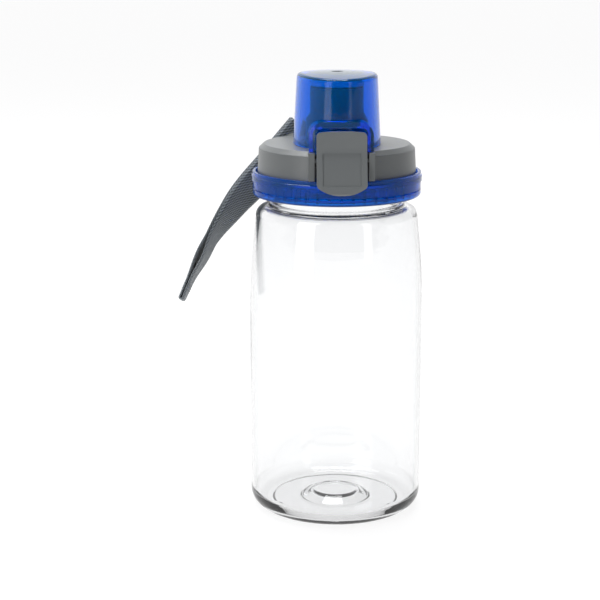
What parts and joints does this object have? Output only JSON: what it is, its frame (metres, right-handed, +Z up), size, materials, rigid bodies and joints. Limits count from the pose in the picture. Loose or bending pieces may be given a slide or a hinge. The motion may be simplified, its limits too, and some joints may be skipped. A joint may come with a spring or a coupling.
{
  "type": "drinking bottle",
  "caption": "Clear sports drinking bottle with a screw lid, a latched flip cap over a hard spout, and a webbing carry strap.",
  "frame": {"origin": "centre of the base, on the surface that the bottle stands on", "axes": "+Z up the bottle's axis; -Y towards the latch; the cap's hinge pin lies along X behind the lid"},
  "size_m": [0.1026, 0.0782, 0.1858],
  "materials": {
    "clear_copolyester": "gloss, clear and colourless",
    "blue_clear_plastic": "gloss, clear blue",
    "grey_plastic": "satin",
    "silicone": "matt",
    "white_silicone": "matt, milky",
    "steel": "plain",
    "webbing": "close woven"
  },
  "bodies": {
    "bottle": {"bottle_body": "clear_copolyester"},
    "gasket": {"neck_gasket": "silicone"},
    "lid": {"lid_collar": "blue_clear_plastic", "lid_shroud": "grey_plastic", "spout": "grey_plastic", "spout_washer": "silicone", "vent_valve": "silicone", "latch_pin": "grey_plastic", "latch_spring": "steel", "hinge_pin": "steel", "hinge_spring": "steel", "strap_stud": "steel"},
    "latch": {"latch_button": "grey_plastic"},
    "cap": {"flip_cap": "blue_clear_plastic", "spout_seal": "white_silicone"},
    "strap": {"carry_strap": "webbing", "strap_washer": "steel"}
  },
  "joints": [
    {"name": "lid_rise", "type": "slide", "parent": "bottle", "child": "gasket", "axis": [0, 0, 1], "range_m": [0, 0.0091]},
    {"name": "lid_turn", "type": "hinge", "parent": "gasket", "child": "lid", "pos_m": [0, 0, 0.14], "axis": [0, 0, 1], "range_deg": [0, 720]},
    {"name": "latch_rock", "type": "hinge", "parent": "lid", "child": "latch", "pos_m": [0, -0.0326, 0.1533], "axis": [1, 0, 0], "range_deg": [0, 5], "stiffness_Nm_per_rad": 0.02, "deforming": ["latch_spring"]},
    {"name": "cap_hinge", "type": "hinge", "parent": "lid", "child": "cap", "pos_m": [0, 0.029, 0.1589], "axis": [-1, 0, 0], "range_deg": [0, 120]},
    {"name": "strap_swing", "type": "hinge", "parent": "lid", "child": "strap", "pos_m": [-0.01795, 0.03109, 0.1526], "axis": [-0.5, 0.866, 0], "range_deg": [-15, 45]}
  ],
  "couplings": [
    {"joint": "lid_rise", "follows": "lid_turn", "m_per_rad": 0.0007162}
  ]
}
